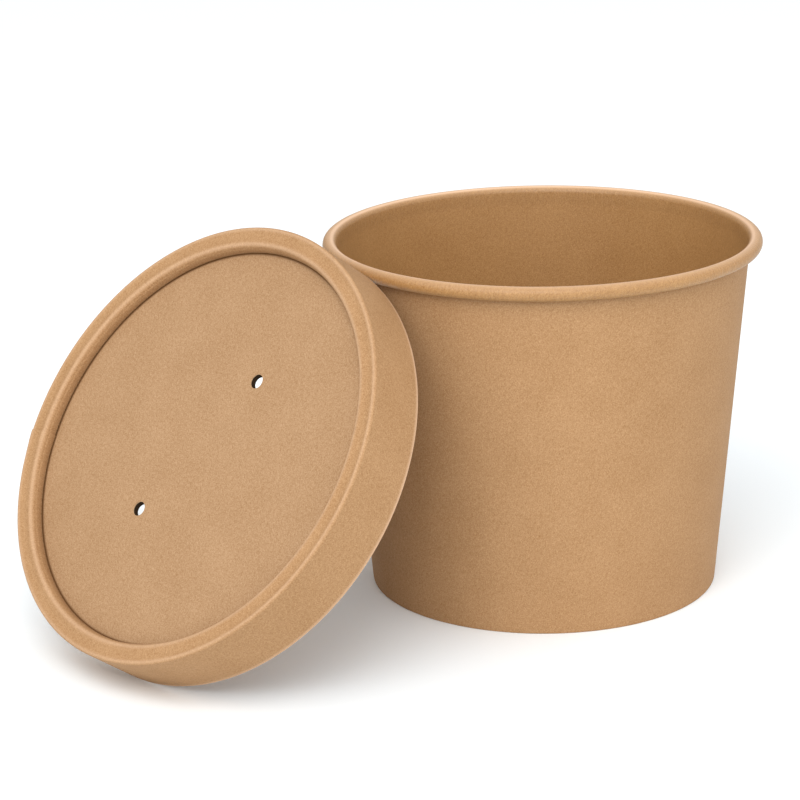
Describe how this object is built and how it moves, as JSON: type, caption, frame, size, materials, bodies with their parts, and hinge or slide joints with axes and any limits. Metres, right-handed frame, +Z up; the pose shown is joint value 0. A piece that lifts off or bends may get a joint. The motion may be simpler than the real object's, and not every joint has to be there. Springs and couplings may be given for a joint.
{
  "type": "takeaway soup container",
  "caption": "Round tapered kraft paper soup container with a rolled rim and raised base, empty, its vented paper lid standing on edge and leaning against it.",
  "frame": {"origin": "under the middle of the container and its leaning lid, on the surface that they stand on", "axes": "+Z up, +X from the leaning lid towards the container, +Y across the lean"},
  "size_m": [0.1978, 0.1406, 0.1058],
  "materials": {
    "cup_board": "matte",
    "base_board": "matte",
    "lid_band_board": "matte",
    "lid_disc_board": "matte"
  },
  "bodies": {
    "root": {"cup_wall": "cup_board", "cup_base": "base_board", "lid_band": "lid_band_board", "lid_disc": "lid_disc_board"}
  },
  "joints": []
}
